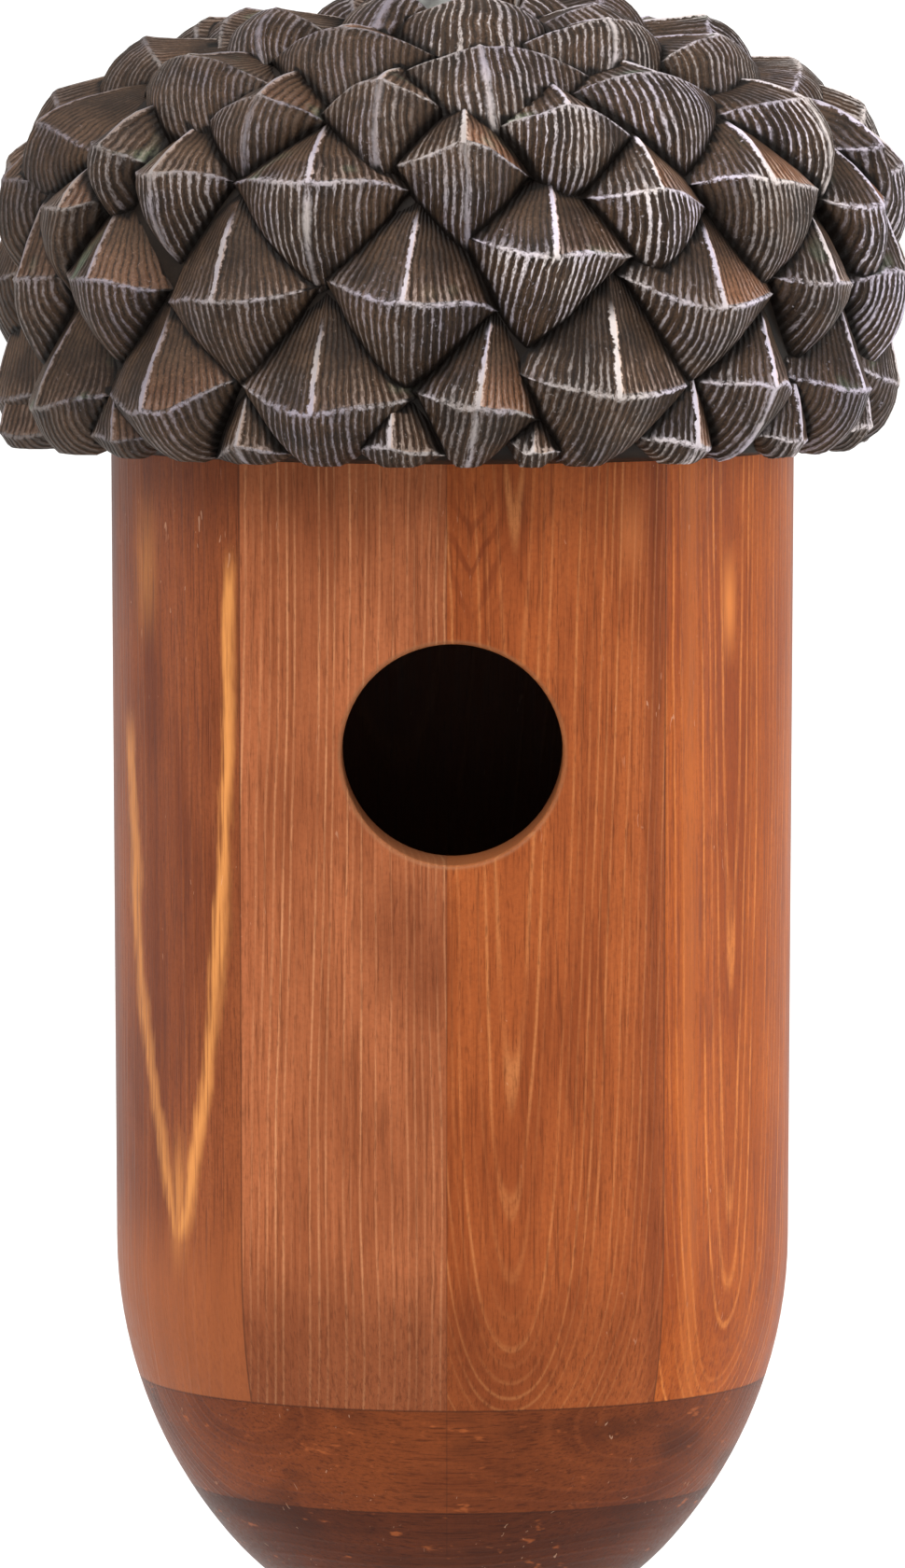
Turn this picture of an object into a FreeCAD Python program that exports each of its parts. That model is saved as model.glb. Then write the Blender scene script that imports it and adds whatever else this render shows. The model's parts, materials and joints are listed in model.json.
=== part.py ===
"""Acorn birdhouse: a turned, glued-up wooden nest box under a cast acorn-cap roof.

The frame is millimetres, +Z up.  The origin is the centre of the hanging eye's bore, so the house hangs
below it.  The entrance faces -Y.  Two front strips, a back board and two side boards make the walls, two
base boards close the bottom, and the outside is turned to an acorn's outline.  The cap drops over the top
of the walls.  One eye bolt runs through its crown into a tee nut in a bar across the nest cavity: unscrewed,
it frees the cap, which then lifts off for cleaning.
"""
import os

import FreeCAD, Part
from math import cos, pi, radians, sin, tan

V = FreeCAD.Vector
UP = V(0, 0, 1)
BACK = V(0, 1, 0)

# ---- driving dimensions ----
# The turned body
BODY_TOP_R = 60.3            # radius under the cap
BODY_TAPER = 0.9             # how much smaller it is where the acorn curve starts
WAIST_ABOVE_FLOOR = 24.9     # that place's height over the base boards
BELLY_CENTRE_OVER = 22.6     # how far beyond the axis the first arc of the curve has its centre
BELLY_TURN = 41.0            # degrees that arc turns before the rounded end, centred on the axis, takes over
WALL_ABOVE_RIM = 30.0        # how far the walls stand up inside the cap
WALL_BELOW_RIM = 164.2       # from the cap's rim down to the base boards
BASE_UPPER_T = 19.05         # upper base board, a 3/4 inch board

# The nest cavity and the glue joints between the boards
FRONT_T = 20.3               # front and back wall, at the middle
SIDE_T = 26.8                # side wall, at the middle
JOINT_BEVEL = 24.0           # degrees by which the walls' glue faces lean out from the Y axis
STRIP_JOINT_X = -1.0         # glue line between the two front strips

# Holes
ENTRANCE_R = 19.05           # 1 1/2 inch entrance
ENTRANCE_BELOW_RIM = 50.1
ENTRANCE_EDGE_R = 0.8        # eased outer edge of the entrance
DRAIN_R = 3.2                # drain hole down through the base

# The acorn cap
CAP_H = 72.0                 # rim to crown
CAP_OVERHANG = 15.0          # valleys between the scales stand out this far past the body at the widest
CAP_WIDEST_Z = 30.0          # height of the widest place above the rim
CAP_LOWER_H = 42.0           # half height of the superellipse below it
CAP_LOWER_POWER = 4.0
CAP_UPPER_POWER = 2.8        # the superellipse above it reaches the crown
CAP_WALL = 7.0               # wall left under the crown
SOCKET_GAP = 1.0             # round the body inside the cap
LEDGE_W = 10.3               # inner ledge that rests on the top of the walls
CROWN_PAD_R = 15.0           # flat pad under the washers
SHANK_GAP = 0.5              # round the bolt, in the cap, the washers and the bar

# The scales on the cap, in rows from the rim up
SCALE_COUNTS = [17, 17, 17, 17, 17, 10, 7]
FIRST_ROW_UP = 3.0           # distance up the outline from the rim to the first row
SECOND_ROW_UP = 13.5         # the same to the second row, from which the pitch to the crown is even
SCALE_RELIEF = 6.0           # how far a beak stands out of the valleys
SCALE_FILL = 0.95            # share of its cell that a scale's foot fills
SCALE_ROOT = 1.6             # how deep a scale's foot starts in the dome
BEAK_DROP = 0.12             # how far below its middle a beak lies, as a share of the scale's height

# Hanger
BAR_W = 20.0
BAR_T = 19.05
BAR_BITE = 13.5              # how far each end of the bar runs into its side board
BAR_GAP = 0.25               # round the bar in its notches
SCREW_INSET = 7.0            # from the cavity's side to a bar screw
SCREW_SHANK_R = 1.75
SCREW_HEAD_R = 3.5
SCREW_HEAD_H = 2.6
SCREW_L = 38.0
RECESS_R = 1.9               # half length of the arms of the screw's cross recess
RECESS_W = 0.8
RECESS_DEEP = 1.4
NUT_BARREL_R = 4.5
NUT_BARREL_L = 13.0
NUT_FLANGE_R = 9.5
NUT_FLANGE_T = 1.5
BOLT_R = 3.0                 # M6
BOLT_PAST_NUT = 4.5          # end of the bolt below the tee nut
THREAD_GAP = 0.05            # running clearance that stands for the thread
WASHER_R = 12.5
WASHER_T = 1.5
SEAL_R = 12.0
SEAL_T = 2.0
COLLAR_R = 7.0
COLLAR_T = 11.9
EYE_BORE_R = 7.0
EYE_WIRE_T = 5.0             # thickness of the eye's ring across its plane's radius
EYE_T = 6.0                  # thickness of the ring along its bore
EYE_EDGE_R = 2.0
EYE_SINK = 1.0               # how far the eye's ring runs down into the collar

# ---- worked out from them ----
EYE_R = EYE_BORE_R + EYE_WIRE_T
COLLAR_TOP_Z = EYE_SINK - EYE_R
COLLAR_Z = COLLAR_TOP_Z - COLLAR_T
CROWN_Z = COLLAR_Z - WASHER_T - SEAL_T
RIM_Z = CROWN_Z - CAP_H
WALL_TOP_Z = RIM_Z + WALL_ABOVE_RIM
FLOOR_Z = RIM_Z - WALL_BELOW_RIM
BASE_JOINT_Z = FLOOR_Z - BASE_UPPER_T
ENTRANCE_Z = RIM_Z - ENTRANCE_BELOW_RIM
BAR_Z = WALL_TOP_Z - BAR_T
NUT_Z = BAR_Z - NUT_FLANGE_T
CAVITY_HALF_W = BODY_TOP_R - SIDE_T
CAVITY_HALF_D = BODY_TOP_R - FRONT_T
BAR_HALF_L = CAVITY_HALF_W + BAR_BITE
SCREW_X = CAVITY_HALF_W + SCREW_INSET
CAP_R = BODY_TOP_R + CAP_OVERHANG
REACH = 2 * CAP_R            # past the object's side
DEPTH = 3 * (CROWN_Z - BASE_JOINT_Z)  # past the object's ends


def cylinder(radius, z_low, z_high):
    return Part.makeCylinder(radius, z_high - z_low, V(0, 0, z_low), UP)


def box(x_low, x_high, y_low, y_high, z_low, z_high):
    return Part.makeBox(x_high - x_low, y_high - y_low, z_high - z_low, V(x_low, y_low, z_low))


def line(start, end):
    return Part.LineSegment(start, end).toShape()


def turned(edges):
    """A solid of revolution about Z from a closed outline in the XZ plane."""
    return Part.Face(Part.Wire(edges)).revolve(V(0, 0, 0), UP, 360)


def smooth(points):
    curve = Part.BSplineCurve()
    curve.interpolate(points)
    return curve


# ---- the turned acorn outline ----
def turned_body():
    waist = V(BODY_TOP_R - BODY_TAPER, 0, FLOOR_Z + WAIST_ABOVE_FLOOR)
    belly_r = waist.x + BELLY_CENTRE_OVER
    turn = radians(BELLY_TURN)
    end_r = belly_r - BELLY_CENTRE_OVER / cos(turn)
    end_centre_z = waist.z - BELLY_CENTRE_OVER * tan(turn)

    def on_belly(angle):
        return V(belly_r * cos(angle) - BELLY_CENTRE_OVER, 0, waist.z - belly_r * sin(angle))

    def on_end(angle):
        return V(end_r * cos(angle), 0, end_centre_z - end_r * sin(angle))

    top, axis_top = V(BODY_TOP_R, 0, WALL_TOP_Z), V(0, 0, WALL_TOP_Z)
    tip = V(0, 0, end_centre_z - end_r)
    return turned([
        line(axis_top, top),
        line(top, waist),
        Part.Arc(waist, on_belly(turn / 2), on_belly(turn)).toShape(),
        Part.Arc(on_belly(turn), on_end((turn + pi / 2) / 2), tip).toShape(),
        line(tip, axis_top),
    ])


# ---- walls and base ----
def wall_sector(side):
    """The upright prism that one wall is cut from: side is front, back, left or right."""
    spread = CAVITY_HALF_W + tan(radians(JOINT_BEVEL)) * (REACH - CAVITY_HALF_D)
    front = [(-CAVITY_HALF_W, -CAVITY_HALF_D), (CAVITY_HALF_W, -CAVITY_HALF_D),
             (spread, -REACH), (-spread, -REACH)]
    right = [(CAVITY_HALF_W, -CAVITY_HALF_D), (spread, -REACH), (REACH, -REACH),
             (REACH, REACH), (spread, REACH), (CAVITY_HALF_W, CAVITY_HALF_D)]
    corners = {"front": front, "back": [(x, -y) for x, y in front],
               "right": right, "left": [(-x, y) for x, y in right]}[side]
    ring = [V(x, y, FLOOR_Z) for x, y in corners]
    return Part.Face(Part.makePolygon(ring + ring[:1])).extrude(UP * (WALL_TOP_Z - FLOOR_Z))


def bar_screw():
    """The right-hand bar screw, without its recess, which is also the shape of the hole that it fills."""
    shank = Part.makeCylinder(SCREW_SHANK_R, SCREW_L, V(SCREW_X, 0, WALL_TOP_Z - SCREW_L), UP)
    head_foot = V(SCREW_X, 0, WALL_TOP_Z - SCREW_HEAD_H)
    head = Part.makeCone(SCREW_SHANK_R, SCREW_HEAD_R, SCREW_HEAD_H, head_foot, UP)
    return shank.fuse(head).removeSplitter()


def both_sides(shape):
    return [shape, shape.mirror(V(0, 0, 0), V(1, 0, 0))]


def bar_screws():
    low, high = WALL_TOP_Z - RECESS_DEEP, WALL_TOP_Z
    half_w = RECESS_W / 2
    across = box(SCREW_X - RECESS_R, SCREW_X + RECESS_R, -half_w, half_w, low, high)
    along = box(SCREW_X - half_w, SCREW_X + half_w, -RECESS_R, RECESS_R, low, high)
    return Part.makeCompound(both_sides(bar_screw().cut(across).cut(along)))


def side_board(body, side):
    half_l, half_w = BAR_HALF_L + BAR_GAP, BAR_W / 2 + BAR_GAP
    notch = box(-half_l, half_l, -half_w, half_w, BAR_Z, WALL_TOP_Z)
    board = body.common(wall_sector(side)).cut(notch)
    for hole in both_sides(bar_screw()):
        board = board.cut(hole)
    return board


def front_wall(body):
    """The front wall with its entrance, before it is parted at the glue line."""
    wall = body.common(wall_sector("front"))
    wall = wall.cut(Part.makeCylinder(ENTRANCE_R, REACH, V(0, -REACH, ENTRANCE_Z), BACK))
    edge = [e for e in wall.Edges
            if abs(e.BoundBox.ZLength - 2 * ENTRANCE_R) < 0.1 and e.BoundBox.YMin < 0.1 - CAVITY_HALF_D
            and e.BoundBox.YLength > 0.1]
    return wall.makeFillet(ENTRANCE_EDGE_R, edge)


def slab(shape, x_low=-REACH, x_high=REACH, z_low=-DEPTH, z_high=DEPTH):
    """What a shape has between two planes in X and two in Z."""
    return shape.common(box(x_low, x_high, -REACH, REACH, z_low, z_high))


# ---- the acorn cap ----
def cap_outline():
    """The curve up the valleys of the cap, from the rim to the edge of the crown pad."""
    points = []
    for z in (0.0, 0.2, 0.4, 0.7):
        drop = (1 - z) * CAP_WIDEST_Z / CAP_LOWER_H
        radius = CAP_R * (1 - drop ** CAP_LOWER_POWER) ** (1 / CAP_LOWER_POWER)
        points.append(V(radius, 0, RIM_Z + z * CAP_WIDEST_Z))
    for turn in (0, 22, 40, 54, 67):
        radius = CAP_R * cos(radians(turn)) ** (2 / CAP_UPPER_POWER)
        points.append(upper_point(radius))
    points.append(upper_point(CROWN_PAD_R))
    return smooth(points)


def upper_point(radius):
    share = (1 - (radius / CAP_R) ** CAP_UPPER_POWER) ** (1 / CAP_UPPER_POWER)
    return V(radius, 0, RIM_Z + CAP_WIDEST_Z + (CAP_H - CAP_WIDEST_Z) * share)


def cap_dome(outline):
    pad_edge = V(CROWN_PAD_R, 0, CROWN_Z)
    crown, foot = V(0, 0, CROWN_Z), V(0, 0, RIM_Z)
    rim, top = outline.StartPoint, outline.EndPoint
    return turned([outline.toShape(), line(top, pad_edge), line(pad_edge, crown),
                   line(crown, foot), line(foot, rim)])


def cap_inside():
    """The socket round the walls, and above the ledge a hollow that is half an ellipse."""
    seat_r = BODY_TOP_R - LEDGE_W
    height = CROWN_Z - CAP_WALL - WALL_TOP_Z
    turns = [radians(a) for a in (0, 18, 36, 54, 72, 90)]
    arch = [V(seat_r * cos(t), 0, WALL_TOP_Z + height * sin(t)) for t in turns]
    foot = V(0, 0, WALL_TOP_Z)
    crown = V(0, 0, WALL_TOP_Z + height)
    arch[-1] = crown
    hollow = turned([smooth(arch).toShape(), line(crown, foot), line(foot, arch[0])])
    return cylinder(BODY_TOP_R + SOCKET_GAP, RIM_Z, WALL_TOP_Z).fuse(hollow)


def scale(outline, up, turn, half_w, half_h):
    """One scale: a low four-sided pyramid whose foot is sunk in the dome and whose beak stands out."""
    length = outline.length()

    def surface(distance, out=0.0, aside=0.0):
        """A point by its distance up the outline, its height off the dome, and its place round the row."""
        at = outline.parameterAtDistance(min(max(distance, 0.1), length - 0.1))
        point, rise = outline.value(at), outline.tangent(at)[0]
        radius, z = point.x + rise.z * out, point.z - rise.x * out
        spin = turn + aside / point.x
        return V(radius * cos(spin), radius * sin(spin), z)

    ring = [surface(up + half_h, -SCALE_ROOT), surface(up, -SCALE_ROOT, half_w),
            surface(up - half_h, -SCALE_ROOT), surface(up, -SCALE_ROOT, -half_w)]
    beak = surface(up - 2 * half_h * BEAK_DROP, SCALE_RELIEF)
    root = surface(up, -2 * SCALE_ROOT)
    faces = []
    for a, b in zip(ring, ring[1:] + ring[:1]):
        faces.append(Part.Face(Part.makePolygon([a, b, beak, a])))
        faces.append(Part.Face(Part.makePolygon([b, a, root, b])))
    solid = Part.Solid(Part.Shell(faces))
    if solid.Volume < 0:
        solid.reverse()
    return solid


def cap_scales(outline):
    pitch = (outline.length() - SECOND_ROW_UP) / (len(SCALE_COUNTS) - 1)
    ups = [FIRST_ROW_UP] + [SECOND_ROW_UP + pitch * i for i in range(len(SCALE_COUNTS) - 1)]
    scales = []
    for row, (up, count) in enumerate(zip(ups, SCALE_COUNTS)):
        radius = outline.value(outline.parameterAtDistance(up)).x
        half_w = SCALE_FILL * pi * radius / count
        half_h = SCALE_FILL * pitch
        first = pi / count * ((row + 1) % 2) - pi / 2
        scales += [scale(outline, up, first + 2 * pi * k / count, half_w, half_h) for k in range(count)]
    return scales


def cap_shell():
    outline = cap_outline()
    shell = cap_dome(outline).multiFuse(cap_scales(outline))
    shell = shell.cut(cap_inside()).cut(cylinder(BOLT_R + SHANK_GAP, RIM_Z, CROWN_Z))
    below = cylinder(REACH, RIM_Z - DEPTH, RIM_Z)
    over_pad = cylinder(CROWN_PAD_R, CROWN_Z, CROWN_Z + DEPTH)
    return shell.cut(below).cut(over_pad)


# ---- hanger ----
def hanger_bar():
    bar = box(-BAR_HALF_L, BAR_HALF_L, -BAR_W / 2, BAR_W / 2, BAR_Z, WALL_TOP_Z)
    bar = bar.cut(cylinder(NUT_BARREL_R, BAR_Z, BAR_Z + NUT_BARREL_L))
    bar = bar.cut(cylinder(BOLT_R + SHANK_GAP, BAR_Z, WALL_TOP_Z))
    for hole in both_sides(bar_screw()):
        bar = bar.cut(hole)
    return bar


def tee_nut():
    barrel = cylinder(NUT_BARREL_R, BAR_Z, BAR_Z + NUT_BARREL_L)
    flange = cylinder(NUT_FLANGE_R, NUT_Z, BAR_Z)
    bore = cylinder(BOLT_R + THREAD_GAP, NUT_Z, BAR_Z + NUT_BARREL_L)
    return barrel.fuse(flange).removeSplitter().cut(bore)


def washer(radius, z_low, thickness):
    ring = cylinder(radius, z_low, z_low + thickness)
    return ring.cut(cylinder(BOLT_R + SHANK_GAP, z_low, z_low + thickness))


def eye_bolt():
    shank = cylinder(BOLT_R, NUT_Z - BOLT_PAST_NUT, COLLAR_Z)
    collar = cylinder(COLLAR_R, COLLAR_Z, COLLAR_TOP_Z)
    ring = Part.makeCylinder(EYE_R, EYE_T, V(0, -EYE_T / 2, 0), BACK)
    ring = ring.makeFillet(EYE_EDGE_R, [e for e in ring.Edges if e.isClosed()])
    bore = Part.makeCylinder(EYE_BORE_R, EYE_T, V(0, -EYE_T / 2, 0), BACK)
    return ring.fuse(collar).fuse(shank).removeSplitter().cut(bore)


def export(name, shape):
    solids = shape.Solids
    whole = solids[0] if len(solids) == 1 else Part.makeCompound(solids)
    whole.exportStep(f"parts/{name}.step")
    print(f"{name}: {len(solids)} solid(s), valid {whole.isValid()}, {whole.Volume / 1000:.1f} cm3")


def main():
    os.makedirs("parts", exist_ok=True)
    body = turned_body()
    front = front_wall(body)
    drained = body.cut(cylinder(DRAIN_R, -DEPTH, FLOOR_Z))
    export("front_strip_left", slab(front, x_high=STRIP_JOINT_X))
    export("front_strip_right", slab(front, x_low=STRIP_JOINT_X))
    export("back_board", body.common(wall_sector("back")))
    export("side_board_left", side_board(body, "left"))
    export("side_board_right", side_board(body, "right"))
    export("base_board_upper", slab(drained, z_low=BASE_JOINT_Z, z_high=FLOOR_Z))
    export("base_board_lower", slab(drained, z_high=BASE_JOINT_Z))
    export("hanger_bar", hanger_bar())
    export("bar_screws", bar_screws())
    export("tee_nut", tee_nut())
    export("cap_shell", cap_shell())
    export("sealing_washer", washer(SEAL_R, CROWN_Z, SEAL_T))
    export("crown_washer", washer(WASHER_R, CROWN_Z + SEAL_T, WASHER_T))
    export("eye_bolt", eye_bolt())


main()
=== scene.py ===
"""Looks of the acorn birdhouse: the cap's cast scales as a detailed mesh, and a finish on every piece.

Everything is in metres in the frame's own axes: +Z up, the entrance faces -Y, and the origin is the centre
of the hanging eye.  Lengths given in millimetres are multiplied by MM.  Levels and radii come from the frame.
"""
import json
import math
import random

import bpy
import numpy as np
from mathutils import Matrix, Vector, noise
from mathutils.bvhtree import BVHTree


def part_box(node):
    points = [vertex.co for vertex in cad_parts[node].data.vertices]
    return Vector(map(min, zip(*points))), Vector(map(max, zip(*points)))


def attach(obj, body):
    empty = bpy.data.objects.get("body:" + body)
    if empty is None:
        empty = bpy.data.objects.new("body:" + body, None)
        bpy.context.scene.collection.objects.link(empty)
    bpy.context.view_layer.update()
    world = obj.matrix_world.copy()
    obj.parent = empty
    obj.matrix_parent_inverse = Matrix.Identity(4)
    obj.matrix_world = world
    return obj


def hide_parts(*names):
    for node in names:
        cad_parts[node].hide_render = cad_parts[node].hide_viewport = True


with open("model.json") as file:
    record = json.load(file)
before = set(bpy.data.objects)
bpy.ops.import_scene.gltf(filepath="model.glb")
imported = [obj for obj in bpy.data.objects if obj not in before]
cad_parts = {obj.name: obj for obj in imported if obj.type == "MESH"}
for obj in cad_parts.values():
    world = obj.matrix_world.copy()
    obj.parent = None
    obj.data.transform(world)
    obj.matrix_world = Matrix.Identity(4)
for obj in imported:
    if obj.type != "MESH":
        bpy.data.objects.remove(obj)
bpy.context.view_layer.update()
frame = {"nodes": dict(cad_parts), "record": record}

MM = 0.001

# ---- levels and radii read from the frame ----
RIM_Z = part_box("cap_shell")[0].z
CROWN_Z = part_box("sealing_washer")[0].z
WALL_TOP_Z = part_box("back_board")[1].z
FLOOR_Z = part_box("back_board")[0].z
BASE_JOINT_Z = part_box("base_board_upper")[0].z
TIP_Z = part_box("base_board_lower")[0].z
BODY_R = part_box("side_board_right")[1].x
CAVITY_HALF_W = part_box("side_board_right")[0].x
CAVITY_HALF_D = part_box("back_board")[0].y
STRIP_JOINT_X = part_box("front_strip_right")[0].x
ENTRANCE = next(o for o in frame["record"]["physics"]["openings"] if o["name"] == "entrance")
ENTRANCE_Z = (ENTRANCE["box_m"][0][2] + ENTRANCE["box_m"][1][2]) / 2

# ---- sizes that part.py gives and the frame doesn't ----
ENTRANCE_R = 19.05 * MM
CAP_OVERHANG = 15.0 * MM     # valleys between the scales past the body, at the widest
CAP_WIDEST_UP = 30.0 * MM    # above the rim
CAP_LOWER_H = 42.0 * MM
CAP_LOWER_POWER = 4.0
CAP_UPPER_POWER = 2.8
CAP_WALL = 7.0 * MM
SOCKET_GAP = 1.0 * MM
LEDGE_W = 10.3 * MM
CROWN_PAD_R = 15.0 * MM
BOLT_HOLE_R = 3.5 * MM
JOINT_BEVEL = math.radians(24)
CROWN_RISE = 0.12            # the scales' bed rises this much towards the crown pad, and leaves it in a dip
CROWN_RISE_R = 55.0 * MM     # where that rise begins

# ---- camera ----
CAMERA_DISTANCE = 2.231
CAMERA_ABOVE_RIM = 0.121
CAMERA_PITCH = math.radians(4.636)
CAMERA_LENS = 291.2

# ---- floor ----
FLOOR_DROP = 0.25            # the house hangs this far above it
FLOOR_HALF = 30.0

# ---- mesh detail ----
SEED = 17
LOWER_STEPS, UPPER_STEPS = 120, 500      # points of the outline below and above its widest place
DOME_RINGS, ARCH_RINGS, DOME_SPOKES = 46, 16, 128
SHADE_RAYS, QUICK_SHADE_RAYS = 14, 6
SHADE_REACH = 9.0 * MM
SHARP_ANGLE = math.radians(62)


# ---------------------------------------------------------------- the cap's outline
def outline_radius(up):
    """Radius of the cap's valleys at a height above the rim."""
    widest = BODY_R + CAP_OVERHANG
    if up < CAP_WIDEST_UP:
        share, power = (CAP_WIDEST_UP - up) / CAP_LOWER_H, CAP_LOWER_POWER
    else:
        share, power = (up - CAP_WIDEST_UP) / (CROWN_Z - RIM_Z - CAP_WIDEST_UP), CAP_UPPER_POWER
    return widest * max(0.0, 1 - share ** power) ** (1 / power)


class Outline:
    """The cap's outline as arrays by distance walked up it from the rim: radius, height and normal."""

    def __init__(self):
        lower = np.linspace(0, CAP_WIDEST_UP, LOWER_STEPS)
        radii = [outline_radius(up) for up in lower]
        widest, top = radii[-1], CROWN_Z - RIM_Z - CAP_WIDEST_UP
        turns = np.linspace(0, 1, UPPER_STEPS)[1:]
        low_r = CROWN_PAD_R / widest
        last = math.acos(low_r ** (CAP_UPPER_POWER / 2))
        upper_r = widest * np.cos(turns * last) ** (2 / CAP_UPPER_POWER)
        upper_z = CAP_WIDEST_UP + top * np.sin(turns * last) ** (2 / CAP_UPPER_POWER)
        upper_z += CROWN_RISE * np.maximum(0, CROWN_RISE_R - upper_r)
        self.radius = np.concatenate([radii, upper_r])
        self.up = np.concatenate([lower, upper_z])
        steps = np.hypot(np.diff(self.radius), np.diff(self.up))
        self.walked = np.concatenate([[0], np.cumsum(steps)])
        along_r, along_z = np.gradient(self.radius, self.walked), np.gradient(self.up, self.walked)
        size = np.hypot(along_r, along_z)
        self.normal_r, self.normal_z = along_z / size, -along_r / size
        self.length = self.walked[-1]

    def walked_to(self, up, out=0.0):
        """Distance walked to where a point standing out from the outline is at this height."""
        return float(np.interp(up, self.up + out * self.normal_z, self.walked))

    def point(self, walked, out, turn):
        """Points at arrays of distances walked, heights off the outline and azimuths from the front."""
        walked = np.clip(walked, 0, self.length)
        radius = np.interp(walked, self.walked, self.radius)
        radius = radius + out * np.interp(walked, self.walked, self.normal_r)
        z = RIM_Z + np.interp(walked, self.walked, self.up)
        z = z + out * np.interp(walked, self.walked, self.normal_z)
        return np.stack([radius * np.sin(turn), -radius * np.cos(turn), np.maximum(z, RIM_Z)], axis=-1)


# ---------------------------------------------------------------- the cap's scales
VALLEY_DROP = 1.4 * MM       # the scales' own valleys lie this far inside the outline
RELIEF = 7.6 * MM            # a beak over the valleys
FOOT = 1.2                   # how far past its cell a scale's foot runs on under its neighbours
COLUMNS = 17                 # each side of the keel
CREST_POWER = 1.6            # how round the crest is seen from above
LOWER_POWER = 2.4            # how steeply the lower face drops to its foot
GROW = 1.1                   # scales run on under their neighbours, so no gap shows between them
FAN_POWER = 0.6              # how early an upper face fans out to its full width
TOP_GROW = 1.3               # the same for their tops
HOLLOW = 0.34                # how much the upper faces sink in, as a share of the relief
WOBBLE = 0.28 * MM           # unevenness of the crest
KEEL_BEAD, KEEL_BEAD_W = 0.50 * MM, 0.8 * MM
CREST_BEAD, CREST_BEAD_W = 0.30 * MM, 0.6 * MM
ROOT = -4.5 * MM             # the point that closes a scale from inside
STRIPE = 1.3 * MM            # spacing of the grooves
ROUGH_BIG, ROUGH_BIG_SIZE = 0.55 * MM, 11 * MM
ROUGH_SMALL, ROUGH_SMALL_SIZE = 0.16 * MM, 2.6 * MM

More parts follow.
